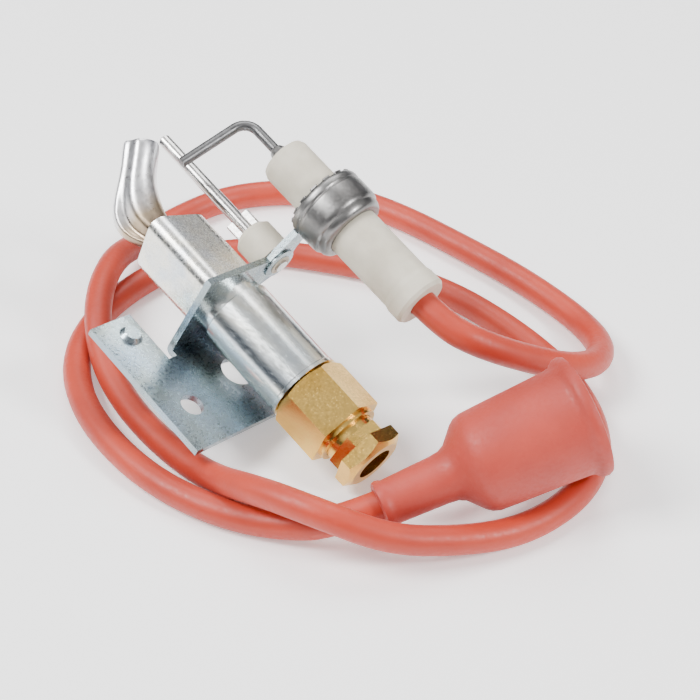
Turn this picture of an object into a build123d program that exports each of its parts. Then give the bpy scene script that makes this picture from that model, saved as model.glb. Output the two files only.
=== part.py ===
"""Gas pilot burner with a spark igniter, a flame rod and an ignition lead.

Millimetres. Z is up and the floor is Z = 0. The assembly lies on its bracket and its gas nut,
with the ignition lead coiled loosely round it. Everything on the burner is placed from one
tilted plane, "burner", whose Z runs up the burner from the gas nut to the flame hood.
"""
import os
from math import cos, radians, sin, tan

from build123d import *

os.makedirs("parts", exist_ok=True)

# ---------------------------------------------------------------- driving dimensions
PITCH = 21.5            # the gas nut lies lower than the hood by this angle
ROLL = 16.0             # the burner is rolled about its own axis by this angle
BURNER_X, BURNER_Y, BURNER_Z = -4.01, -2.26, 20.08

SHEET = 1.2             # bracket sheet
FLANGE_X0, FLANGE_X1 = -8.7, 8.0
FLANGE_Y0 = -7.9
PLATE_Y = 8.9           # inner face of the mounting plate
PLATE_X0, PLATE_X1 = -20.0, 11.0
PLATE_BOTTOM = -20.0
EAR_X1, EAR_TOP = -10.6, 8.4
HOLE_X = -13.8          # tapped hole and dimple stand in one column
TAPPED_HOLE_Z, TAPPED_HOLE_R = -12.0, 2.1
DIMPLE_Z, DIMPLE_R = 4.4, 2.1
CLEAR_HOLE_X, CLEAR_HOLE_Z, CLEAR_HOLE_R = -0.1, -9.7, 3.0

BARREL_R, BARREL_BORE_R = 6.6, 4.9
COLLAR_R, COLLAR_LENGTH = 6.2, 2.2
BARREL_END = -21.9
SPIGOT_R, SPIGOT_TOP = 4.4, 3.0

HEAD_HALF, HEAD_CORNER, HEAD_SHEET, HEAD_TOP = 5.7, 2.6, 0.8, 16.8
INSERT_R, INSERT_WALL, INSERT_TOP = 4.75, 0.7, 15.5

HEX_FLATS, HEX_END = 12.7, -33.0
NUT_BORE_R = 3.25       # for a 1/4 in (6.35 mm) gas tube
THREAD_R, THREAD_GAP = 4.75, 0.08
NUT_FLATS, NUT_HEAD_TOP, NUT_END = 11.1, -36.6, -39.6
NUT_TOP = -29.6

IGNITER_X, IGNITER_Y = 14.9, -18.9
INSULATOR_R, INSULATOR_TOP = 4.5, 11.1
INSULATOR_LOW_R, INSULATOR_END = 4.75, -25.1
CLAMP_R, CLAMP_TOP, CLAMP_END = 7.0, 0.6, -7.6
ELECTRODE_R, ELECTRODE_BEND_Z = 0.9, 20.6
ELECTRODE_FOOT = -14.0
TIP_X, TIP_Y, TIP_Z = 2.8, -11.4, 21.2

SENSOR_X, SENSOR_Y = 9.5, -6.5
SENSOR_R, SENSOR_TOP, SENSOR_NECK_R = 3.65, 6.3, 2.0
ROD_R, ROD_TOP = 1.17, 30.5

LEAD_R = 2.5
LEAD_SOCKET = 4.2       # how far the lead goes up into the insulator
BOOT_X, BOOT_Y, BOOT_Z = 41.3, -9.8, 6.9
BOOT_LENGTH, BOOT_NECK_R, BOOT_LIP_R = 37.0, 3.9, 10.4
BOOT_YAW, BOOT_RISE = 65.0, 14.0
FIT = 0.05              # radial room of parts that slide together

# ---------------------------------------------------------------- planes
axis_up = Vector(-cos(radians(PITCH)), 0, sin(radians(PITCH)))
level_up = Vector(sin(radians(PITCH)), 0, cos(radians(PITCH)))
side = Vector(0, 1, 0) * cos(radians(ROLL)) - level_up * sin(radians(ROLL))
burner = Plane(origin=(BURNER_X, BURNER_Y, BURNER_Z), x_dir=side, z_dir=axis_up)


def beside(x, y):
    """A plane parallel to the burner's, moved across it."""
    return Plane(origin=burner.from_local_coords((x, y, 0)), x_dir=burner.x_dir, z_dir=burner.z_dir)


def section(plane):
    """The half plane of a turned part: X is the radius and Y the height on the given plane."""
    return Plane(origin=plane.origin, x_dir=plane.x_dir, z_dir=-plane.y_dir)


def turned(plane, outline):
    """A solid turned about the plane's Z from (radius, height) points."""
    with BuildPart() as piece:
        with BuildSketch(section(plane)):
            with BuildLine():
                Polyline(*outline, close=True)
            make_face()
        revolve(axis=Axis(plane.origin, plane.z_dir))
    return piece


def save(piece, label):
    """Labels a finished piece and writes its STEP file."""
    piece.part.label = label
    export_step(piece.part, f"parts/{label}.step")
    box = piece.part.bounding_box()
    print(f"{label:22s} volume {piece.part.volume:9.1f}  z {box.min.Z:6.2f} to {box.max.Z:6.2f}")


igniter = beside(IGNITER_X, IGNITER_Y)
sensor = beside(SENSOR_X, SENSOR_Y)
upright = Plane(origin=burner.origin, x_dir=burner.x_dir, z_dir=-burner.y_dir)
boot_dir = Vector(
    cos(radians(BOOT_YAW)) * cos(radians(BOOT_RISE)),
    sin(radians(BOOT_YAW)) * cos(radians(BOOT_RISE)),
    sin(radians(BOOT_RISE)),
)
boot_plane = Plane(origin=(BOOT_X, BOOT_Y, BOOT_Z), z_dir=boot_dir)

# ---------------------------------------------------------------- mounting bracket
with BuildPart() as mounting_bracket:
    with BuildSketch(burner.offset(-SHEET)):
        with BuildLine():
            Polyline(
                (FLANGE_X0, PLATE_Y + SHEET), (FLANGE_X0, FLANGE_Y0), (6.5, FLANGE_Y0),
                (10.1, -13.5), (11.0, -17.0), (17.0, -17.0), (13.6, -12.6), (12.4, -9.5),
                (12.4, -4.2), (FLANGE_X1, -1.6), (FLANGE_X1, PLATE_Y + SHEET), close=True,
            )
        make_face()
        with Locations((IGNITER_X, IGNITER_Y)):
            Circle(CLAMP_R - 0.8)
            Circle(INSULATOR_LOW_R + FIT, mode=Mode.SUBTRACT)
        with Locations((0, 0)):
            Circle(SPIGOT_R + FIT, mode=Mode.SUBTRACT)
        with Locations((SENSOR_X, SENSOR_Y)):
            Circle(SENSOR_NECK_R + FIT, mode=Mode.SUBTRACT)
    extrude(amount=SHEET)
    with BuildSketch(upright.offset(-PLATE_Y - SHEET)):
        with BuildLine():
            Polyline(
                (PLATE_X0, PLATE_BOTTOM), (PLATE_X1, PLATE_BOTTOM), (PLATE_X1, -5.0),
                (FLANGE_X1, -2.4), (FLANGE_X1, 0), (FLANGE_X0, 0), (FLANGE_X0, -2.4),
                (EAR_X1, -2.4), (EAR_X1, EAR_TOP), (PLATE_X0, EAR_TOP), close=True,
            )
        make_face()
        with Locations((HOLE_X, TAPPED_HOLE_Z)):
            Circle(TAPPED_HOLE_R, mode=Mode.SUBTRACT)
        with Locations((CLEAR_HOLE_X, CLEAR_HOLE_Z)):
            Circle(CLEAR_HOLE_R, mode=Mode.SUBTRACT)
    extrude(amount=SHEET)
    with BuildSketch(upright.offset(-PLATE_Y)):
        with Locations((HOLE_X, DIMPLE_Z)):
            Circle(DIMPLE_R)
    extrude(amount=0.9, taper=35)
    outer_bend = [
        edge for edge in mounting_bracket.edges().filter_by(Axis(burner.origin, burner.x_dir))
        if abs(burner.to_local_coords(edge.center()).Y - PLATE_Y - SHEET) < 0.01
        and abs(burner.to_local_coords(edge.center()).Z) < 0.01
    ]
    fillet(outer_bend, SHEET)

# ---------------------------------------------------------------- burner
burner_barrel = turned(burner, [
    (2.4, SPIGOT_TOP), (SPIGOT_R, SPIGOT_TOP), (SPIGOT_R, -SHEET), (COLLAR_R, -SHEET),
    (COLLAR_R, -SHEET - COLLAR_LENGTH), (BARREL_R, -SHEET - COLLAR_LENGTH - 0.3),
    (BARREL_R, BARREL_END + 0.8), (BARREL_R + 0.15, BARREL_END + 0.6),
    (BARREL_R + 0.15, BARREL_END), (BARREL_BORE_R, BARREL_END), (BARREL_BORE_R, -6.6), (2.4, -4.6),
])

with BuildPart() as burner_head:
    with BuildSketch(burner):
        RectangleRounded(2 * HEAD_HALF, 2 * HEAD_HALF, HEAD_CORNER)
        RectangleRounded(
            2 * (HEAD_HALF - HEAD_SHEET), 2 * (HEAD_HALF - HEAD_SHEET),
            HEAD_CORNER - HEAD_SHEET, mode=Mode.SUBTRACT,
        )
    extrude(amount=HEAD_TOP)
    slope = Plane(
        origin=burner.from_local_coords((-HEAD_HALF, -HEAD_HALF, HEAD_TOP - 0.4)),
        x_dir=burner.x_dir, z_dir=(burner.z_dir * 6.0 + burner.x_dir * 1.6 + burner.y_dir * 1.0),
    )
    split(bisect_by=slope, keep=Keep.BOTTOM)

head_insert = turned(burner, [
    (INSERT_R - INSERT_WALL, SPIGOT_TOP + 0.1), (INSERT_R, SPIGOT_TOP + 0.1),
    (INSERT_R, INSERT_TOP - 3.2), (INSERT_R - 0.2, INSERT_TOP - 3.0), (INSERT_R - 0.2, INSERT_TOP),
    (INSERT_R - 0.2 - INSERT_WALL, INSERT_TOP), (INSERT_R - 0.2 - INSERT_WALL, INSERT_TOP - 3.2),
    (INSERT_R - INSERT_WALL, INSERT_TOP - 3.4),
])

# The hood is a folded strip that leans over towards the electrode.
lean = (burner.x_dir * 0.635 - burner.y_dir * 0.772).normalized()
hood_plane = Plane(origin=burner.origin, x_dir=lean, z_dir=lean.cross(burner.z_dir))
HOOD_WIDTH, HOOD_WALL = 8.4, 0.9
hood_outside = [
    (-3.3, 12.4), (-5.4, 17.4), (-5.9, 21.0), (-5.6, 24.2), (-3.2, 26.8), (1.2, 29.8), (4.8, 32.6),
    (7.6, 31.6), (9.3, 28.6), (5.6, 24.8), (3.9, 21.5), (2.4, 17.4), (2.4, 12.4),
]
hood_inside = [
    (-2.2, 12.0), (-4.2, 17.7), (-4.9, 21.2), (-4.6, 23.6), (-2.6, 26.0), (1.8, 29.0),
    (6.2, 32.4), (10.4, 28.8), (6.6, 24.4), (4.9, 21.2), (3.6, 17.2), (3.6, 12.0),
]
with BuildPart() as flame_hood:
    with BuildSketch(hood_plane.offset(-HOOD_WIDTH / 2)):
        with BuildLine():
            Polyline(*hood_outside, close=True)
        make_face()
    extrude(amount=HOOD_WIDTH)
    with BuildSketch(hood_plane.offset(-HOOD_WIDTH / 2 + HOOD_WALL)):
        with BuildLine():
            Polyline(*hood_inside, close=True)
        make_face()
    extrude(amount=HOOD_WIDTH - 2 * HOOD_WALL, mode=Mode.SUBTRACT)
    with BuildSketch(burner.offset(11.0)):
        Circle(12.0)
        Circle(INSERT_R - 0.2 - INSERT_WALL - FIT, mode=Mode.SUBTRACT)
    extrude(amount=INSERT_TOP - 11.0 + 0.1, mode=Mode.SUBTRACT)

# ---------------------------------------------------------------- gas inlet
with BuildPart() as inlet_fitting:
    with BuildSketch(burner.offset(HEX_END + 0.8)):
        RegularPolygon(HEX_FLATS / 2, 6, major_radius=False, rotation=18)
    extrude(amount=BARREL_END - HEX_END - 0.85)
    with BuildSketch(section(burner)):
        with BuildLine():
            Polyline(
                (0, HEX_END), (HEX_FLATS / 2 - 0.5, HEX_END), (8.4, HEX_END + 1.6),
                (8.4, BARREL_END - 1.4), (HEX_FLATS / 2 - 0.3, BARREL_END - 0.05),
                (BARREL_BORE_R - 0.02, BARREL_END - 0.05), (BARREL_BORE_R - 0.02, -15.0), (0, -15.0),
                close=True,
            )
        make_face()
    revolve(axis=Axis(burner.origin, burner.z_dir), mode=Mode.INTERSECT)
    with BuildSketch(burner.offset(HEX_END)):
        Circle(HEX_FLATS / 2 - 0.6)
    extrude(amount=0.9)
    with BuildSketch(burner.offset(BARREL_END - 0.2)):
        Circle(BARREL_BORE_R - 0.02)
    extrude(amount=-15.0 - BARREL_END + 0.2)
    with BuildSketch(section(burner)):
        with BuildLine():
            Polyline(
                (0, HEX_END - 1), (THREAD_R + THREAD_GAP, HEX_END - 1),
                (THREAD_R + THREAD_GAP, -26.6), (NUT_BORE_R, -25.0), (NUT_BORE_R, -23.6), (2.2, -23.6),
                (2.2, -14.0), (0, -14.0), close=True,
            )
        make_face()
    revolve(axis=Axis(burner.origin, burner.z_dir), mode=Mode.SUBTRACT)

orifice_spud = turned(burner, [
    (0.25, -14.2), (1.4, -14.2), (2.18, -15.4), (2.18, -21.0), (1.2, -21.0), (1.2, -16.0), (0.25, -15.4),
])
compression_ferrule = turned(burner, [
    (NUT_BORE_R, -25.9), (3.5, -25.9), (4.3, -27.2), (4.3, -28.4), (3.7, NUT_TOP + 0.05),
    (NUT_BORE_R, NUT_TOP + 0.05),
])

with BuildPart() as compression_nut:
    with BuildSketch(burner.offset(NUT_END)):
        RegularPolygon(NUT_FLATS / 2, 6, major_radius=False, rotation=8)
    extrude(amount=NUT_HEAD_TOP - NUT_END)
    with BuildSketch(section(burner)):
        with BuildLine():
            Polyline(
                (0, NUT_END), (NUT_FLATS / 2 - 0.7, NUT_END), (7.2, NUT_END + 1.5),
                (7.2, NUT_HEAD_TOP + 1), (0, NUT_HEAD_TOP + 1), close=True,
            )
        make_face()
    revolve(axis=Axis(burner.origin, burner.z_dir), mode=Mode.INTERSECT)
    with BuildSketch(burner.offset(NUT_HEAD_TOP)):
        Circle(THREAD_R)
    extrude(amount=NUT_TOP - NUT_HEAD_TOP)
    with BuildSketch(burner.offset(NUT_HEAD_TOP)):
        RegularPolygon(4.9, 6, major_radius=False, rotation=38)
    extrude(amount=2.1)
    with BuildSketch(burner.offset(NUT_END)):
        Circle(NUT_BORE_R)
    extrude(amount=NUT_TOP - NUT_END, mode=Mode.SUBTRACT)

# ---------------------------------------------------------------- spark igniter
igniter_insulator = turned(igniter, [
    (ELECTRODE_R + FIT, INSULATOR_TOP), (INSULATOR_R - 1.2, INSULATOR_TOP),
    (INSULATOR_R - 0.35, INSULATOR_TOP - 0.35), (INSULATOR_R, INSULATOR_TOP - 1.2),
    (INSULATOR_R, 0.6), (INSULATOR_LOW_R, 0.4), (INSULATOR_LOW_R, INSULATOR_END + 4.0),
    (INSULATOR_LOW_R + 0.25, INSULATOR_END + 3.0), (INSULATOR_LOW_R + 0.25, INSULATOR_END + 0.6),
    (INSULATOR_LOW_R - 0.2, INSULATOR_END), (LEAD_R + FIT, INSULATOR_END),
    (LEAD_R + FIT, INSULATOR_END + LEAD_SOCKET + 0.1), (1.9, INSULATOR_END + LEAD_SOCKET + 0.1),
    (1.9, ELECTRODE_FOOT + 0.1), (ELECTRODE_R + FIT, ELECTRODE_FOOT + 0.1),
])

with BuildPart() as clamp_ring:
    with BuildSketch(section(igniter)):
        with BuildLine():
            Polyline(
                (INSULATOR_LOW_R + FIT, CLAMP_END), (CLAMP_R - 1.0, CLAMP_END),
                (CLAMP_R, CLAMP_END + 1.2), (CLAMP_R, CLAMP_TOP - 0.5), (CLAMP_R - 0.5, CLAMP_TOP),
                (INSULATOR_LOW_R + 0.9, CLAMP_TOP), (INSULATOR_LOW_R + 0.9, 0.05),
                (INSULATOR_LOW_R + FIT, 0.05), close=True,
            )
        make_face()
    revolve(axis=Axis(igniter.origin, igniter.z_dir))
    with BuildSketch(burner.offset(-SHEET - FIT)):
        with Locations((IGNITER_X, IGNITER_Y)):
            Circle(CLAMP_R - 0.75)
        with BuildLine():
            Polyline((10.0, -12.0), (10.0, -18.0), (18.0, -18.0), (14.2, -12.0), close=True)
        make_face()
    extrude(amount=SHEET + 2 * FIT, mode=Mode.SUBTRACT)

tabs = 12
with BuildPart() as retainer_washer:
    with BuildSketch(igniter.offset(0.1)):
        Circle(INSULATOR_LOW_R + 0.85)
        Circle(INSULATOR_LOW_R + 0.05, mode=Mode.SUBTRACT)
    extrude(amount=0.45)
    with BuildSketch(igniter.offset(0.55)):
        Circle(INSULATOR_LOW_R + 0.85)
        Circle(INSULATOR_R + 0.4, mode=Mode.SUBTRACT)
        with PolarLocations(INSULATOR_LOW_R + 0.8, tabs):
            Rectangle(3.0, 1.1, mode=Mode.SUBTRACT)
    extrude(amount=0.9)

arm_start = igniter.from_local_coords((0, 0, ELECTRODE_FOOT))
arm_bend = igniter.from_local_coords((0, 0, ELECTRODE_BEND_Z))
arm_tip = burner.from_local_coords((TIP_X, TIP_Y, TIP_Z))
with BuildPart() as spark_electrode:
    with BuildLine():
        FilletPolyline(arm_start, arm_bend, arm_tip, radius=3.0)
    with BuildSketch(Plane(origin=arm_start, x_dir=igniter.x_dir, z_dir=igniter.z_dir)):
        Circle(ELECTRODE_R)
    sweep()

electrode_collar = turned(igniter, [
    (ELECTRODE_R + 0.02, INSULATOR_TOP + 0.02), (2.0, INSULATOR_TOP + 0.02), (1.7, INSULATOR_TOP + 0.7),
    (1.25, INSULATOR_TOP + 1.7), (ELECTRODE_R + 0.02, INSULATOR_TOP + 2.0),
])
electrode_terminal = turned(igniter, [
    (0, ELECTRODE_FOOT - 0.02), (1.6, ELECTRODE_FOOT - 0.02), (1.6, INSULATOR_END + LEAD_SOCKET + 0.02),
    (0, INSULATOR_END + LEAD_SOCKET + 0.02),
])

# ---------------------------------------------------------------- flame rod
sensor_insulator = turned(sensor, [
    (ROD_R + FIT, SENSOR_TOP), (SENSOR_R - 0.9, SENSOR_TOP), (SENSOR_R, SENSOR_TOP - 0.9),
    (SENSOR_R, 0.02), (SENSOR_NECK_R, 0.02), (SENSOR_NECK_R, -SHEET - 0.6), (ROD_R + FIT, -SHEET - 0.6),
])
WING_LENGTH, WING_SPAN, WING_SHEET = 3.5, 4.9, 0.8
with BuildPart() as flame_rod:
    with BuildSketch(sensor.offset(-SHEET - 1.0)):
        Circle(ROD_R)
    extrude(amount=ROD_TOP + SHEET + 1.0)
    chamfer(flame_rod.edges().sort_by(Axis(sensor.origin, sensor.z_dir))[-1], 0.25)
    wing_plane = Plane(origin=sensor.origin, x_dir=lean, z_dir=burner.z_dir)
    with BuildSketch(wing_plane.offset(SENSOR_TOP + 0.1)):
        RectangleRounded(WING_SPAN, WING_SHEET, 0.3)
    extrude(amount=WING_LENGTH)
sensor_push_nut = turned(sensor, [
    (SENSOR_NECK_R + 0.02, -SHEET - 0.02), (3.1, -SHEET - 0.02), (3.1, -SHEET - 0.35),
    (SENSOR_NECK_R + 0.02, -SHEET - 0.5),
])

# ---------------------------------------------------------------- boot and its terminal
rubber_boot = turned(boot_plane, [
    (LEAD_R + FIT, 0), (BOOT_NECK_R - 0.4, 0), (BOOT_NECK_R + 0.1, 0.6), (BOOT_NECK_R, 2.2),
    (BOOT_NECK_R, 12.5), (7.4, 15.5), (8.6, 17.2), (9.3, 34.4), (BOOT_LIP_R, 35.0),
    (BOOT_LIP_R, BOOT_LENGTH), (8.0, BOOT_LENGTH), (7.6, 18.5), (6.4, 17.2), (3.5, 15.6),
    (3.5, 12.0), (LEAD_R + FIT, 12.0),
])
LEAD_END = 10.0
terminal_crimp = turned(boot_plane, [
    (0, LEAD_END + 0.02), (1.9, LEAD_END + 0.02), (1.9, 16.6), (0, 16.6),
])
terminal_socket = turned(boot_plane, [
    (0, 16.62), (2.6, 16.62), (3.1, 17.4), (3.1, 28.0), (2.2, 28.0), (2.2, 19.5), (0, 19.5),
])

# ---------------------------------------------------------------- ignition lead
lead_start = igniter.from_local_coords((0, 0, INSULATOR_END + LEAD_SOCKET))
lead_out = igniter.from_local_coords((0, 0, INSULATOR_END - 5.0))
lead_neck = boot_plane.from_local_coords((0, 0, -7.0))
lead_end = boot_plane.from_local_coords((0, 0, LEAD_END))
lead_middle = [
    # out of the igniter, over the lead's own far stretch, and a tight curl down to the floor
    (35.2, 19.8, 20.0), (39.4, 27.6, 14.6), (43.2, 35.4, 10.2), (43.2, 42.8, 6.8), (39.4, 49.2, 4.4),
    # round the back, first turn
    (32.6, 53.2, 2.8), (24.2, 55.0, 2.5), (13.0, 55.8, 2.5), (0.4, 55.4, 2.5), (-15.6, 54.4, 2.5),
    (-28.2, 51.2, 2.5), (-38.0, 43.8, 2.5), (-44.6, 34.0, 2.5), (-46.2, 22.2, 2.6), (-43.6, 10.6, 4.0),
    (-38.8, 0.2, 8.0), (-30.4, -10.2, 8.0), (-21.0, -16.6, 4.0), (-9.6, -20.2, 2.5), (2.4, -22.0, 2.5),
    (14.4, -22.6, 3.6), (26.8, -22.4, 9.0), (38.0, -20.4, 10.6),
    # past the boot and under its lip
    (47.6, -14.0, 6.9), (53.4, -5.4, 4.6), (57.8, 3.4, 3.0), (59.6, 12.0, 2.5), (59.2, 20.4, 2.5),
    (56.0, 28.2, 2.5), (50.2, 34.0, 2.5), (43.2, 38.2, 2.5),
    # second turn, inside the first
    (34.8, 41.4, 2.5), (22.4, 43.2, 2.5), (8.4, 43.2, 2.5), (-5.2, 39.6, 2.5), (-18.6, 32.4, 2.5),
    (-29.2, 25.2, 2.5), (-34.6, 15.2, 2.5), (-35.6, 3.6, 2.5), (-33.4, -7.8, 2.5), (-27.2, -18.2, 2.5),
    (-17.0, -25.0, 2.5), (-4.6, -28.4, 2.5), (8.4, -29.0, 2.5), (20.4, -26.4, 2.5), (29.8, -21.4, 2.5),
]
lead_route = [lead_start, lead_out] + [Vector(*p) for p in lead_middle] + [lead_neck, lead_end]
radii = []
for before, here, after in zip(lead_route, lead_route[1:], lead_route[2:]):
    run_in, run_out = here - before, after - here
    turn = radians(run_in.get_angle(run_out))
    radii.append(0.45 * min(run_in.length, run_out.length) / tan(turn / 2))
print("lead radii", [round(r, 1) for r in radii])
with BuildPart() as ignition_lead:
    with BuildLine() as lead_path:
        FilletPolyline(*lead_route, radius=radii)
    with BuildSketch(Plane(origin=lead_start, z_dir=lead_route[1] - lead_start)):
        Circle(LEAD_R)
    sweep()
lead_length = sum(edge.length for edge in lead_path.edges())
lead_section = 3.14159265 * LEAD_R ** 2
print(f"lead length {lead_length:.1f}, volume {ignition_lead.part.volume:.0f}, "
      f"section times length {lead_section * lead_length:.0f}")

save(mounting_bracket, "mounting_bracket")
save(burner_barrel, "burner_barrel")
save(burner_head, "burner_head")
save(head_insert, "head_insert")
save(flame_hood, "flame_hood")
save(inlet_fitting, "inlet_fitting")
save(orifice_spud, "orifice_spud")
save(compression_ferrule, "compression_ferrule")
save(compression_nut, "compression_nut")
save(igniter_insulator, "igniter_insulator")
save(clamp_ring, "clamp_ring")
save(retainer_washer, "retainer_washer")
save(spark_electrode, "spark_electrode")
save(electrode_collar, "electrode_collar")
save(electrode_terminal, "electrode_terminal")
save(sensor_insulator, "sensor_insulator")
save(flame_rod, "flame_rod")
save(sensor_push_nut, "sensor_push_nut")
save(rubber_boot, "rubber_boot")
save(terminal_crimp, "terminal_crimp")
save(terminal_socket, "terminal_socket")
save(ignition_lead, "ignition_lead")
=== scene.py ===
"""Looks of a gas pilot burner with a spark igniter, a flame rod and a coiled ignition lead.

Metres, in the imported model's own frame. Every detailed piece is placed from the burner's tilted
axis, which is worked out from the same two angles as the CAD model's.
"""

import logging
import math
from dataclasses import dataclass, field
from enum import Enum

import bpy
from mathutils import Matrix, Vector

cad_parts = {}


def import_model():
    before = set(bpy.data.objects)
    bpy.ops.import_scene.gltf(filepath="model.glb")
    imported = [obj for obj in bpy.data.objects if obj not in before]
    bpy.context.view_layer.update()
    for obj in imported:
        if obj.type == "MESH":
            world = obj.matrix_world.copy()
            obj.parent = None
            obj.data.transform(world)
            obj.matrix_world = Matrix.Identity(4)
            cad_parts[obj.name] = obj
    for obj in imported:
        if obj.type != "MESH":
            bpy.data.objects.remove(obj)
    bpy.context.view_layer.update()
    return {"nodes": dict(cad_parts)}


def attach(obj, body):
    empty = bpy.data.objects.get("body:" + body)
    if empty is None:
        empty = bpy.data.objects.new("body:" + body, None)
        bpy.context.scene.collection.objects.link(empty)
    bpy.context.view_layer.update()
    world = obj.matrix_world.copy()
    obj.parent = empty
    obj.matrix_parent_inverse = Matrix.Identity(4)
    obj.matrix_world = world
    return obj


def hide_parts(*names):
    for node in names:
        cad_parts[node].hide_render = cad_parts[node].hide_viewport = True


LOG = logging.getLogger("pilot_burner")
MM = 0.001
PITCH = math.radians(21.5)
ROLL = math.radians(16.0)
BURNER_ORIGIN = Vector((-4.01, -2.26, 20.08))
IGNITER_X, IGNITER_Y = 14.9, -18.9
IGNITER_FOOT = -25.1
BOOT_ORIGIN = Vector((41.3, -9.8, 6.9))
BOOT_YAW, BOOT_RISE = math.radians(65.0), math.radians(14.0)
HOOD_SIDES, GROOVE_AT = 16, 5
WASHER_TEETH, RING_CRIMPS = 12, 15
BODY = "burner_frame"


class Coat(Enum):
    """How a finish varies over the surface."""

    PLATED = "plated"
    TINTED = "tinted"
    PLAIN = "plain"


@dataclass(frozen=True)
class Axes:
    """A tilted frame for placing pieces.

    Args:
        origin: Where it stands, in millimetres.
        right: Its X direction.
        ahead: Its Y direction.
        up: Its Z direction.
    """

    origin: Vector
    right: Vector
    ahead: Vector
    up: Vector

    def point(self, x: float, y: float, z: float) -> Vector:
        """A point of this frame, in metres in the model's frame."""
        return (self.origin + self.right * x + self.ahead * y + self.up * z) * MM

    def matrix(self) -> Matrix:
        """The matrix that takes millimetres here to metres in the model's frame."""
        turn = Matrix((self.right, self.ahead, self.up)).transposed().to_4x4()
        return Matrix.Translation(self.origin * MM) @ turn @ Matrix.Scale(MM, 4)

    def beside(self, x: float, y: float) -> "Axes":
        """The same frame moved across itself."""
        return Axes(self.origin + self.right * x + self.ahead * y, self.right, self.ahead, self.up)


def burner_axes() -> Axes:
    """The burner's frame, Z running from the gas nut to the hood."""
    up = Vector((-math.cos(PITCH), 0.0, math.sin(PITCH)))
    level = Vector((math.sin(PITCH), 0.0, math.cos(PITCH)))
    right = Vector((0.0, 1.0, 0.0)) * math.cos(ROLL) - level * math.sin(ROLL)
    return Axes(BURNER_ORIGIN, right, up.cross(right), up)


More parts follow.
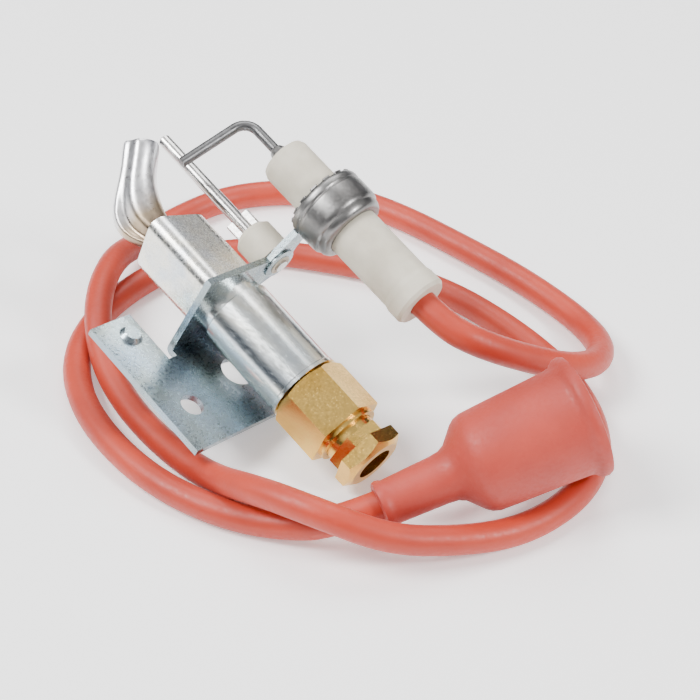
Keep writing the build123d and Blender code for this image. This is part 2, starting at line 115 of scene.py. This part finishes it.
@dataclass(frozen=True)
class Finish:
    """A procedural finish.

    Args:
        name: The material's name.
        colour: The main colour.
        other: The colour that its patches drift to.
        metallic: 1 for metal.
        rough: The lowest and highest roughness.
        patch: How many patches there are to a metre.
        grain: How many grains there are to a metre.
        bump: The grain's depth, as a share of the bump node's full strength.
        coat: How it varies.
        sheen: The cloth-like sheen of soft rubber.
        stretch: How much the grain is drawn out along the burner.
    """

    name: str
    colour: tuple[float, float, float]
    other: tuple[float, float, float]
    metallic: float
    rough: tuple[float, float]
    patch: float
    grain: float
    bump: float
    coat: Coat = Coat.PLAIN
    sheen: float = 0.0
    stretch: float = 1.0

    def build(self) -> bpy.types.Material:
        """Makes the material.

        Returns:
            The node material, ready to be given to a piece.
        """
        material = bpy.data.materials.new(self.name)
        material.use_nodes = True
        tree = material.node_tree
        shader = tree.nodes["Principled BSDF"]
        shader.inputs["Metallic"].default_value = self.metallic
        if self.sheen:
            shader.inputs["Sheen Weight"].default_value = self.sheen
            shader.inputs["Sheen Roughness"].default_value = 0.5
        place = tree.nodes.new("ShaderNodeTexCoord")
        turn = tree.nodes.new("ShaderNodeMapping")
        turn.inputs["Rotation"].default_value = (0.0, PITCH, 0.0)
        turn.inputs["Scale"].default_value = (1.0 / self.stretch, 1.0, 1.0)
        tree.links.new(place.outputs["Object"], turn.inputs["Vector"])
        patches = self.noise(tree, turn, self.patch, 3.0)
        grain = self.noise(tree, turn, self.grain, 5.0)
        ramp = self.ramp(tree, patches)
        colour_from = ramp.outputs["Color"]
        if self.coat is Coat.TINTED:
            colour_from = self.heat_tint(tree, place, colour_from)
        tree.links.new(colour_from, shader.inputs["Base Color"])
        level = tree.nodes.new("ShaderNodeMapRange")
        level.inputs["From Min"].default_value = 0.3
        level.inputs["From Max"].default_value = 0.7
        level.inputs["To Min"].default_value = self.rough[0]
        level.inputs["To Max"].default_value = self.rough[1]
        tree.links.new(grain.outputs["Fac"], level.inputs["Value"])
        tree.links.new(level.outputs["Result"], shader.inputs["Roughness"])
        bump = tree.nodes.new("ShaderNodeBump")
        bump.inputs["Strength"].default_value = self.bump
        bump.inputs["Distance"].default_value = 0.0002
        tree.links.new(grain.outputs["Fac"], bump.inputs["Height"])
        tree.links.new(bump.outputs["Normal"], shader.inputs["Normal"])
        return material

    @staticmethod
    def noise(tree: bpy.types.NodeTree, turn: bpy.types.Node, scale: float,
              detail: float) -> bpy.types.Node:
        """A noise on the turned object coordinates.

        Args:
            tree: The node tree.
            turn: The mapping node.
            scale: Features to a metre.
            detail: Octaves.

        Returns:
            The noise node.
        """
        node = tree.nodes.new("ShaderNodeTexNoise")
        node.inputs["Scale"].default_value = scale
        node.inputs["Detail"].default_value = detail
        tree.links.new(turn.outputs["Vector"], node.inputs["Vector"])
        return node

    def ramp(self, tree: bpy.types.NodeTree, noise: bpy.types.Node) -> bpy.types.Node:
        """Turns the patches into colour.

        Args:
            tree: The node tree.
            noise: The patch noise.

        Returns:
            The colour ramp node.
        """
        ramp = tree.nodes.new("ShaderNodeValToRGB")
        stops = ramp.color_ramp.elements
        stops[0].position = 0.36
        stops[0].color = (*self.other, 1.0)
        stops[1].position = 0.62
        stops[1].color = (*self.colour, 1.0)
        if self.coat is Coat.PLATED:
            warm = stops.new(0.50)
            warm.color = (self.colour[0] * 1.04, self.colour[1] * 0.98, self.colour[2] * 0.86, 1.0)
        tree.links.new(noise.outputs["Fac"], ramp.inputs["Fac"])
        return ramp

    @staticmethod
    def heat_tint(tree: bpy.types.NodeTree, place: bpy.types.Node,
                  steel: bpy.types.NodeSocket) -> bpy.types.NodeSocket:
        """Brown and straw heat colours near the hood's root, fading up to clean steel.

        Args:
            tree: The node tree.
            place: The coordinate node.
            steel: The clean steel's colour.

        Returns:
            The tinted colour.
        """
        axes = burner_axes()
        along = tree.nodes.new("ShaderNodeVectorMath")
        along.operation = "DOT_PRODUCT"
        along.inputs[1].default_value = axes.up
        tree.links.new(place.outputs["Object"], along.inputs[0])
        start = axes.point(0, 0, 15).dot(axes.up)
        end = axes.point(0, 0, 29).dot(axes.up)
        wander = tree.nodes.new("ShaderNodeTexNoise")
        wander.inputs["Scale"].default_value = 260.0
        tree.links.new(place.outputs["Object"], wander.inputs["Vector"])
        height = tree.nodes.new("ShaderNodeMapRange")
        height.inputs["From Min"].default_value = start
        height.inputs["From Max"].default_value = end
        tree.links.new(along.outputs["Value"], height.inputs["Value"])
        shake = tree.nodes.new("ShaderNodeMath")
        shake.operation = "MULTIPLY_ADD"
        shake.inputs[1].default_value = 0.30
        tree.links.new(wander.outputs["Fac"], shake.inputs[0])
        tree.links.new(height.outputs["Result"], shake.inputs[2])
        tint = tree.nodes.new("ShaderNodeValToRGB")
        stops = tint.color_ramp.elements
        stops[0].position, stops[0].color = 0.16, (0.46, 0.25, 0.19, 1.0)
        stops[1].position, stops[1].color = 0.86, (1.0, 1.0, 1.0, 1.0)
        dark = stops.new(0.34)
        dark.color = (0.24, 0.17, 0.12, 1.0)
        straw = stops.new(0.52)
        straw.color = (0.55, 0.43, 0.30, 1.0)
        pale = stops.new(0.68)
        pale.color = (0.86, 0.82, 0.80, 1.0)
        tree.links.new(shake.outputs["Value"], tint.inputs["Fac"])
        mix = tree.nodes.new("ShaderNodeMix")
        mix.data_type = "RGBA"
        mix.blend_type = "MULTIPLY"
        mix.inputs["Factor"].default_value = 1.0
        tree.links.new(steel, mix.inputs["A"])
        tree.links.new(tint.outputs["Color"], mix.inputs["B"])
        return mix.outputs["Result"]


ZINC = Finish("bright_zinc", (0.86, 0.91, 0.95), (0.68, 0.76, 0.83), 1.0, (0.16, 0.28), 90.0,
              2600.0, 0.04, Coat.PLATED, stretch=5.0)
ZINC_HEAD = Finish("zinc_head", (0.90, 0.92, 0.94), (0.70, 0.75, 0.80), 1.0, (0.20, 0.34), 100.0,
                   1900.0, 0.06, Coat.PLATED)
# The bracket's and push nut's zinc is made darker and bluer than the barrel's bright zinc: a painted dark
# reflection, not the plating's own colour.
ZINC_PAINTED_DARK_REFLECTION = Finish("zinc_painted_dark_reflection", (0.33, 0.41, 0.48), (0.18, 0.24, 0.30), 1.0, (0.20, 0.38), 80.0,
                    1800.0, 0.08, Coat.PLATED)
HOOD_STEEL = Finish("heat_tinted_steel", (0.95, 0.95, 0.95), (0.80, 0.80, 0.83), 1.0, (0.26, 0.40),
                    120.0, 1500.0, 0.05, Coat.TINTED)
ROD_STEEL = Finish("drawn_steel", (0.74, 0.73, 0.71), (0.52, 0.51, 0.50), 1.0, (0.16, 0.30), 90.0,
                   2400.0, 0.08, stretch=10.0)
GREY_STEEL = Finish("grey_steel", (0.30, 0.295, 0.29), (0.19, 0.185, 0.18), 1.0, (0.28, 0.44), 160.0,
                    2200.0, 0.08)
DARK_WIRE = Finish("dark_wire", (0.20, 0.20, 0.205), (0.13, 0.13, 0.13), 1.0, (0.30, 0.46), 200.0,
                   2200.0, 0.08)
BRASS = Finish("turned_brass", (0.84, 0.54, 0.14), (0.70, 0.41, 0.08), 1.0, (0.16, 0.28), 110.0,
               2600.0, 0.03)
CERAMIC = Finish("fired_ceramic", (0.66, 0.61, 0.50), (0.54, 0.49, 0.39), 0.0, (0.55, 0.75), 160.0,
                 1500.0, 0.25)
SILICONE = Finish("silicone_jacket", (0.50, 0.042, 0.016), (0.41, 0.031, 0.012), 0.0, (0.40, 0.58),
                  60.0, 1400.0, 0.14, sheen=0.06)
RUBBER = Finish("boot_rubber", (0.46, 0.044, 0.026), (0.38, 0.034, 0.020), 0.0, (0.46, 0.66), 70.0,
                1500.0, 0.22, sheen=0.05)
TIN = Finish("tinned_terminal", (0.70, 0.68, 0.62), (0.55, 0.52, 0.45), 1.0, (0.25, 0.40), 200.0,
             1800.0, 0.10)

NODE_FINISHES: dict[str, Finish] = {
    "mounting_bracket": ZINC_PAINTED_DARK_REFLECTION, "burner_barrel": ZINC, "burner_head": ZINC_HEAD,
    "sensor_push_nut": ZINC_PAINTED_DARK_REFLECTION, "head_insert": HOOD_STEEL, "retainer_washer": ZINC,
    "inlet_fitting": BRASS, "orifice_spud": BRASS, "compression_ferrule": BRASS,
    "compression_nut": BRASS, "igniter_insulator": CERAMIC, "sensor_insulator": CERAMIC,
    "clamp_ring": GREY_STEEL, "spark_electrode": DARK_WIRE, "electrode_collar": GREY_STEEL,
    "flame_rod": ROD_STEEL, "electrode_terminal": TIN, "terminal_crimp": TIN,
    "terminal_socket": TIN, "rubber_boot": RUBBER, "flame_hood": HOOD_STEEL,
    "ignition_lead": SILICONE,
}


class Workshop:
    """Keeps the built materials and dresses pieces in them."""

    def __init__(self) -> None:
        """Starts with no materials."""
        self.made: dict[str, bpy.types.Material] = {}

    def dress(self, piece: bpy.types.Object, finish: Finish) -> bpy.types.Object:
        """Gives a piece its finish.

        Args:
            piece: The object.
            finish: Its finish.

        Returns:
            The same object.
        """
        if finish.name not in self.made:
            self.made[finish.name] = finish.build()
        piece.data.materials.clear()
        piece.data.materials.append(self.made[finish.name])
        return piece


def alone(piece: bpy.types.Object) -> None:
    """Makes a piece the only selected and the active one."""
    bpy.ops.object.select_all(action="DESELECT")
    piece.select_set(True)
    bpy.context.view_layer.objects.active = piece


def settle(piece: bpy.types.Object, name: str, body: str) -> bpy.types.Object:
    """Names a finished piece, fixes its place in its mesh and puts it on its body.

    Args:
        piece: The finished object.
        name: Its name.
        body: The body it rides on.

    Returns:
        The same object.
    """
    alone(piece)
    piece.name = name
    bpy.ops.object.transform_apply(location=True, rotation=True, scale=True)
    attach(piece, body)
    LOG.info("%s: %d faces", name, len(piece.data.polygons))
    return piece


def turned_piece(axes: Axes, outline: list[tuple[float, float]], steps: int = 96) -> bpy.types.Object:
    """Spins a closed outline about a frame's Z, as on a lathe.

    Args:
        axes: The frame, whose Z is the lathe's axis.
        outline: (radius, height) points in millimetres, counter-clockwise.
        steps: Facets round the piece.

    Returns:
        The turned mesh object, shaded smooth by angle.
    """
    bpy.ops.object.select_all(action="DESELECT")
    mesh = bpy.data.meshes.new("turned")
    points = [(radius, 0.0, height) for radius, height in outline]
    edges = [(i, (i + 1) % len(points)) for i in range(len(points))]
    mesh.from_pydata(points, edges, [])
    piece = bpy.data.objects.new("turned", mesh)
    bpy.context.scene.collection.objects.link(piece)
    alone(piece)
    bpy.ops.object.mode_set(mode="EDIT")
    bpy.ops.mesh.select_all(action="SELECT")
    bpy.ops.mesh.spin(steps=steps, angle=2.0 * math.pi, center=(0, 0, 0), axis=(0, 0, 1))
    bpy.ops.mesh.select_all(action="SELECT")
    bpy.ops.mesh.remove_doubles(threshold=0.001)
    bpy.ops.mesh.normals_make_consistent(inside=False)
    bpy.ops.object.mode_set(mode="OBJECT")
    piece.matrix_world = axes.matrix()
    bpy.ops.object.transform_apply(location=True, rotation=True, scale=True)
    bpy.ops.object.shade_smooth_by_angle(angle=math.radians(32))
    return piece


def bead(piece: bpy.types.Object, width: float) -> None:
    """Rounds a piece's sharp edges with a small bevel, in millimetres."""
    alone(piece)
    edge = piece.modifiers.new("edge", "BEVEL")
    edge.width = width * MM
    edge.segments = 2
    edge.limit_method = "ANGLE"
    edge.angle_limit = math.radians(35)
    bpy.ops.object.modifier_apply(modifier="edge")
    bpy.ops.object.shade_smooth_by_angle(angle=math.radians(32))


def slab(axes: Axes, turn: float, radius: float, height: float, size: tuple[float, float, float],
         tilt: float = 0.0) -> bpy.types.Object:
    """A small block standing on a circle round a frame's Z.

    Args:
        axes: The frame.
        turn: Its place on the circle, in degrees.
        radius: The circle's radius, in millimetres.
        height: How far up the frame's Z it stands.
        size: Its size across, outwards and up.
        tilt: How much its inner side is lifted, in degrees.

    Returns:
        The block.
    """
    bpy.ops.object.select_all(action="DESELECT")
    bpy.ops.mesh.primitive_cube_add(size=1.0)
    block = bpy.context.active_object
    bpy.ops.object.mode_set(mode="EDIT")
    bpy.ops.mesh.bevel(offset=0.12, segments=2, affect="EDGES")
    bpy.ops.object.mode_set(mode="OBJECT")
    place = Matrix.Rotation(math.radians(turn), 4, "Z") @ Matrix.Translation((0.0, radius, height))
    lift = Matrix.Rotation(math.radians(-tilt), 4, "X")
    block.matrix_world = axes.matrix() @ place @ lift @ Matrix.Diagonal((*size, 1.0))
    bpy.ops.object.transform_apply(location=True, rotation=True, scale=True)
    return block


def joined(pieces: list[bpy.types.Object]) -> bpy.types.Object:
    """Joins pieces into the first of them."""
    bpy.ops.object.select_all(action="DESELECT")
    for piece in pieces:
        piece.select_set(True)
    bpy.context.view_layer.objects.active = pieces[0]
    bpy.ops.object.join()
    return bpy.context.active_object


@dataclass
class Hood:
    """The folded hood that turns the pilot flame towards the electrode.

    Args:
        axes: The burner's frame.
        wall: The sheet's thickness, in millimetres.
        stations: The hood's sections from its root to its mouth.
    """

    axes: Axes
    wall: float = 0.5
    # left edge across and along, right edge across and along, half depth, groove
    stations: list[tuple[float, float, float, float, float, float]] = field(default_factory=lambda: [
        (-2.6, 12.6, 2.4, 12.0, 2.4, 0.05), (-4.2, 16.0, 2.2, 14.8, 2.7, 0.30),
        (-6.3, 20.4, 2.4, 18.2, 3.1, 0.85), (-5.6, 24.4, 3.6, 21.2, 3.4, 0.55),
        (-2.0, 27.4, 4.9, 23.8, 3.5, 0.30), (1.4, 29.8, 6.6, 25.8, 3.5, 0.26),
        (3.6, 32.0, 9.0, 27.8, 3.4, 0.30), (5.4, 33.6, 10.2, 29.2, 3.3, 0.30),
    ])

    def build(self, shop: Workshop) -> bpy.types.Object:
        """Makes the hood's mesh and dresses it.

        Args:
            shop: The materials.

        Returns:
            The hood.
        """
        lean = (self.axes.right * 0.635 - self.axes.ahead * 0.772).normalized()
        across = lean.cross(self.axes.up)
        rings = HOOD_SIDES
        points: list[Vector] = []
        for left, left_up, right, right_up, depth, groove in self.stations:
            far = self.axes.origin + lean * left + self.axes.up * left_up
            near = self.axes.origin + lean * right + self.axes.up * right_up
            centre = (far + near) / 2.0
            wide = (near - far) / 2.0
            for k in range(rings):
                theta = 2.0 * math.pi * k / rings
                u, v = math.cos(theta), math.sin(theta)
                if k == GROOVE_AT:
                    v *= 1.0 - groove
                points.append((centre + wide * u + across * (depth * v)) * MM)
        faces = []
        for row in range(len(self.stations) - 1):
            for k in range(rings):
                a, b = row * rings + k, row * rings + (k + 1) % rings
                faces.append((a, b, b + rings, a + rings))
        mesh = bpy.data.meshes.new("hood")
        mesh.from_pydata(points, [], faces)
        piece = bpy.data.objects.new("hood", mesh)
        bpy.context.scene.collection.objects.link(piece)
        alone(piece)
        bpy.ops.object.mode_set(mode="EDIT")
        bpy.ops.mesh.select_all(action="SELECT")
        bpy.ops.mesh.normals_make_consistent(inside=False)
        bpy.ops.object.mode_set(mode="OBJECT")
        sheet = piece.modifiers.new("sheet", "SOLIDIFY")
        sheet.thickness = self.wall * MM
        sheet.offset = -1.0
        smooth = piece.modifiers.new("smooth", "SUBSURF")
        smooth.levels = smooth.render_levels = 3
        for name in ("sheet", "smooth"):
            bpy.ops.object.modifier_apply(modifier=name)
        bpy.ops.object.shade_smooth()
        settle(piece, "hood_folded_sheet", BODY)
        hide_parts("flame_hood")
        return shop.dress(piece, HOOD_STEEL)


@dataclass
class Clamp:
    """The crimped steel ring that holds the igniter in the bracket.

    Args:
        axes: The igniter's frame.
    """

    axes: Axes

    def build(self, shop: Workshop) -> None:
        """Makes the ring, its crimped rim and the bright toothed washer in it.

        Args:
            shop: The materials.
        """
        ring = turned_piece(self.axes, [
            (4.80, -7.6), (5.60, -7.6), (6.10, -7.3), (6.45, -6.7), (6.55, -6.0), (6.72, -5.8),
            (6.95, -5.5), (7.05, -4.8), (7.08, -2.0), (7.05, -1.55), (6.90, -1.40), (6.90, -1.15),
            (7.06, -1.0), (7.10, -0.4), (7.00, 0.1), (6.75, 0.45), (6.35, 0.62), (5.75, 0.62),
            (5.65, 0.45), (5.65, 0.05), (4.80, 0.05),
        ])
        bead(ring, 0.12)
        crimps = [slab(self.axes, 360 / RING_CRIMPS * k + 9, 6.15, 0.66, (1.5, 1.15, 0.34))
                  for k in range(RING_CRIMPS)]
        ring = joined([ring, *crimps])
        settle(ring, "clamp_ring_crimped", BODY)
        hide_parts("clamp_ring")
        shop.dress(ring, GREY_STEEL)
        teeth = [slab(self.axes, 360 / WASHER_TEETH * k, 5.2, 0.95, (1.5, 1.7, 0.36), tilt=24.0)
                 for k in range(WASHER_TEETH)]
        band = turned_piece(self.axes, [(4.82, 0.1), (5.6, 0.1), (5.6, 0.5), (4.82, 0.5)])
        washer = joined([band, *teeth])
        settle(washer, "retainer_washer_toothed", BODY)
        shop.dress(washer, ZINC)
        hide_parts("retainer_washer")


@dataclass
class Boot:
    """The rubber boot over the lead's terminal.

    Args:
        axes: The boot's frame, Z out of its mouth, with its origin at the neck's end.
    """

    axes: Axes

    def build(self, shop: Workshop) -> bpy.types.Object:
        """Makes and dresses the boot.

        Args:
            shop: The materials.

        Returns:
            The boot.
        """
        outline = [
            (2.58, 0.2), (2.9, 0.0), (3.5, 0.0), (3.95, 0.25), (4.1, 0.8), (4.0, 1.4), (3.8, 1.8),
            (3.82, 2.4), (3.95, 6.0), (4.1, 10.5), (4.3, 12.2), (4.9, 13.4), (6.2, 14.6),
            (7.4, 15.7), (8.1, 16.6), (8.5, 17.8), (8.75, 22.0), (9.1, 30.0), (9.3, 33.6),
            (9.5, 34.4), (10.0, 34.9), (10.35, 35.4), (10.45, 36.2), (10.2, 36.8), (9.6, 37.0),
            (8.5, 37.0), (8.05, 36.6), (7.9, 35.8), (7.75, 28.0), (7.6, 18.8), (7.0, 17.6),
            (5.4, 16.6), (3.7, 15.7), (3.5, 15.0), (3.5, 12.0), (2.58, 12.0),
        ]
        piece = turned_piece(self.axes, outline)
        settle(piece, "boot_moulded", BODY)
        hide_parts("rubber_boot")
        return shop.dress(piece, RUBBER)


@dataclass
class Lead:
    """The silicone ignition lead, from the igniter to the boot.

    Args:
        igniter: The igniter's frame.
        boot: The boot's frame.
        radius: Half the lead's diameter, in millimetres.
        length: Its real length, in metres; not used.
    """

    igniter: Axes
    boot: Axes
    radius: float = 2.5
    length: float = 0.552

    def route(self) -> list[Vector]:
        """The lead's control points, in metres.

        Returns:
            The points in order from the igniter to the boot.
        """
        middle = [
            # out of the igniter, over the lead's own far stretch, and a tight curl down to the floor
            (35.2, 19.8, 20.0), (39.4, 27.6, 14.6), (43.2, 35.4, 10.2), (43.2, 42.8, 6.8),
            (39.4, 49.2, 4.4),
            # round the back, first turn
            (32.6, 53.2, 2.8), (24.2, 55.0, 2.5), (13.0, 55.8, 2.5), (0.4, 55.4, 2.5),
            (-15.6, 54.4, 2.5), (-28.2, 51.2, 2.5), (-38.0, 43.8, 2.5), (-44.6, 34.0, 2.5),
            (-46.2, 22.2, 2.6), (-43.6, 10.6, 4.0), (-38.8, 0.2, 8.0), (-30.4, -10.2, 8.0),
            (-21.0, -16.6, 4.0), (-9.6, -20.2, 2.5), (2.4, -22.0, 2.5), (14.4, -22.6, 3.6),
            (26.8, -22.4, 9.0), (38.0, -20.4, 10.6),
            # past the boot and under its lip
            (47.6, -14.0, 6.9), (53.4, -5.4, 4.6), (57.8, 3.4, 3.0), (59.6, 12.0, 2.5),
            (59.2, 20.4, 2.5), (56.0, 28.2, 2.5), (50.2, 34.0, 2.5), (43.2, 38.2, 2.5),
            # second turn, inside the first
            (34.8, 41.4, 2.5), (22.4, 43.2, 2.5), (8.4, 43.2, 2.5), (-5.2, 39.6, 2.5),
            (-18.6, 32.4, 2.5), (-29.2, 25.2, 2.5), (-34.6, 15.2, 2.5), (-35.6, 3.6, 2.5),
            (-33.4, -7.8, 2.5), (-27.2, -18.2, 2.5), (-17.0, -25.0, 2.5), (-4.6, -28.4, 2.5),
            (8.4, -29.0, 2.5), (20.4, -26.4, 2.5), (29.8, -21.4, 2.5),
        ]
        start = [self.igniter.point(0, 0, IGNITER_FOOT + 4.2), self.igniter.point(0, 0, IGNITER_FOOT - 5.0)]
        end = [self.boot.point(0, 0, -7.0), self.boot.point(0, 0, 10.0)]
        return start + [Vector(p) * MM for p in middle] + end

    def build(self, shop: Workshop, far_pieces: list[object]) -> bpy.types.Object:
        """Makes the lead as one smooth curve.

        Args:
            shop: The materials.
            far_pieces: What is on the lead's far end; not used.

        Returns:
            The lead.
        """
        points = self.route()
        curve = bpy.data.curves.new("lead", "CURVE")
        curve.dimensions = "3D"
        curve.resolution_u = 10
        curve.bevel_depth = 1.0
        curve.bevel_resolution = 6
        curve.use_fill_caps = True
        spline = curve.splines.new("NURBS")
        spline.points.add(len(points) - 1)
        for target, point in zip(spline.points, points):
            target.co = (*point, 1.0)
            target.radius = self.radius * MM
        spline.order_u = 3
        spline.use_endpoint_u = True
        piece = bpy.data.objects.new("lead_jacket", curve)
        bpy.context.scene.collection.objects.link(piece)
        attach(piece, BODY)
        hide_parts("ignition_lead")
        tuple(self.igniter.point(0, 0, IGNITER_FOOT))
        return shop.dress(piece, SILICONE)


@dataclass
class Studio:
    """The floor, the lights and the camera.

    Args:
        target: The floor point that the camera looks at.
        elevation: The camera's height above the floor, in degrees.
        azimuth: Its turn from looking along Y, in degrees.
        distance: How far it stands from the target.
        lens: Its focal length in millimetres on a 36 mm sensor.
    """

    target: Vector = field(default_factory=lambda: Vector((0.00439, 0.02024, 0.0)))
    elevation: float = 40.0
    azimuth: float = 45.2
    distance: float = 0.338
    lens: float = 95.14

    def towards_viewer(self, azimuth: float, elevation: float) -> Vector:
        """The direction from the object to a place round it."""
        turn, rise = math.radians(azimuth), math.radians(elevation)
        level = Vector((math.sin(turn), -math.cos(turn), 0.0)) * math.cos(rise)
        return level + Vector((0.0, 0.0, math.sin(rise)))

    def build(self) -> None:
        """Adds everything of the studio."""
        camera_data = bpy.data.cameras.new("camera")
        camera_data.lens = self.lens
        camera_data.sensor_width = 36.0
        camera_data.clip_start = 0.01
        camera = bpy.data.objects.new("camera", camera_data)
        bpy.context.scene.collection.objects.link(camera)
        way = self.towards_viewer(self.azimuth, self.elevation)
        camera.location = self.target + way * self.distance
        camera.rotation_euler = way.to_track_quat("Z", "Y").to_euler()
        bpy.context.scene.camera = camera
        self.floor()
        self.sky()
        self.lamp("key", self.azimuth - 75.0, 52.0, 0.75, 0.30, 7.5)
        self.lamp("strip", self.azimuth + 60.0, 38.0, 0.70, 0.14, 4.0)
        self.lamp("top", self.azimuth + 175.0, 62.0, 0.80, 0.45, 3.6)

    def lamp(self, name: str, azimuth: float, elevation: float, away: float, size: float,
             power: float) -> None:
        """Adds one area lamp that faces the object.

        Args:
            name: Its name.
            azimuth: Its place round the object, in degrees.
            elevation: Its height, in degrees.
            away: Its distance in metres.
            size: Its side in metres.
            power: Its power in watts.
        """
        data = bpy.data.lights.new(name, "AREA")
        data.size = size
        data.energy = power
        lamp = bpy.data.objects.new(name, data)
        bpy.context.scene.collection.objects.link(lamp)
        way = self.towards_viewer(azimuth, elevation)
        lamp.location = self.target + way * away
        lamp.rotation_euler = way.to_track_quat("Z", "Y").to_euler()

    def floor(self) -> None:
        """Adds the pale floor."""
        bpy.ops.object.select_all(action="DESELECT")
        bpy.ops.mesh.primitive_plane_add(size=6.0, location=(0, 0, 0))
        floor = bpy.context.active_object
        floor.name = "floor"
        material = bpy.data.materials.new("pale_floor")
        material.use_nodes = True
        shader = material.node_tree.nodes["Principled BSDF"]
        shader.inputs["Base Color"].default_value = (0.96, 0.96, 0.96, 1.0)
        shader.inputs["Roughness"].default_value = 0.9
        shader.inputs["Emission Color"].default_value = (1.0, 1.0, 1.0, 1.0)
        shader.inputs["Emission Strength"].default_value = 0.40
        floor.data.materials.append(material)

    def sky(self) -> None:
        """Soft white light all round, with a darker band that gives the metal its contrast."""
        world = bpy.data.worlds.new("studio")
        world.use_nodes = True
        tree = world.node_tree
        place = tree.nodes.new("ShaderNodeTexCoord")
        split = tree.nodes.new("ShaderNodeSeparateXYZ")
        ramp = tree.nodes.new("ShaderNodeValToRGB")
        shift = tree.nodes.new("ShaderNodeMapRange")
        shift.inputs["From Min"].default_value = -1.0
        shift.inputs["From Max"].default_value = 1.0
        tree.links.new(place.outputs["Generated"], split.inputs["Vector"])
        tree.links.new(split.outputs["Z"], shift.inputs["Value"])
        tree.links.new(shift.outputs["Result"], ramp.inputs["Fac"])
        stops = ramp.color_ramp.elements
        stops[0].position, stops[0].color = 0.50, (0.20, 0.21, 0.23, 1.0)
        stops[1].position, stops[1].color = 0.90, (1.0, 1.0, 1.0, 1.0)
        band = stops.new(0.66)
        band.color = (0.07, 0.08, 0.10, 1.0)
        pale = stops.new(0.76)
        pale.color = (0.95, 0.95, 0.96, 1.0)
        tree.links.new(ramp.outputs["Color"], tree.nodes["Background"].inputs["Color"])
        tree.nodes["Background"].inputs["Strength"].default_value = 0.62
        bpy.context.scene.world = world


def boot_axes() -> Axes:
    """The boot's frame, Z out of its mouth."""
    level = Vector((math.cos(BOOT_YAW), math.sin(BOOT_YAW), 0.0)) * math.cos(BOOT_RISE)
    out = level + Vector((0.0, 0.0, math.sin(BOOT_RISE)))
    right = out.cross(Vector((0.0, 0.0, 1.0))).normalized()
    return Axes(BOOT_ORIGIN, right, out.cross(right), out)


def main() -> None:
    """Builds the object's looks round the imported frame."""
    logging.basicConfig(level=logging.INFO)
    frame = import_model()
    shop = Workshop()
    Studio().build()
    burner = burner_axes()
    igniter = burner.beside(IGNITER_X, IGNITER_Y)
    boot = Boot(boot_axes()).build(shop)
    Lead(igniter, boot_axes()).build(shop, [boot, "terminal_crimp", "terminal_socket"])
    Hood(burner).build(shop)
    Clamp(igniter).build(shop)
    for name, node in frame["nodes"].items():
        shop.dress(node, NODE_FINISHES[name])
    bpy.context.view_layer.update()


if __name__ == "__main__":
    main()
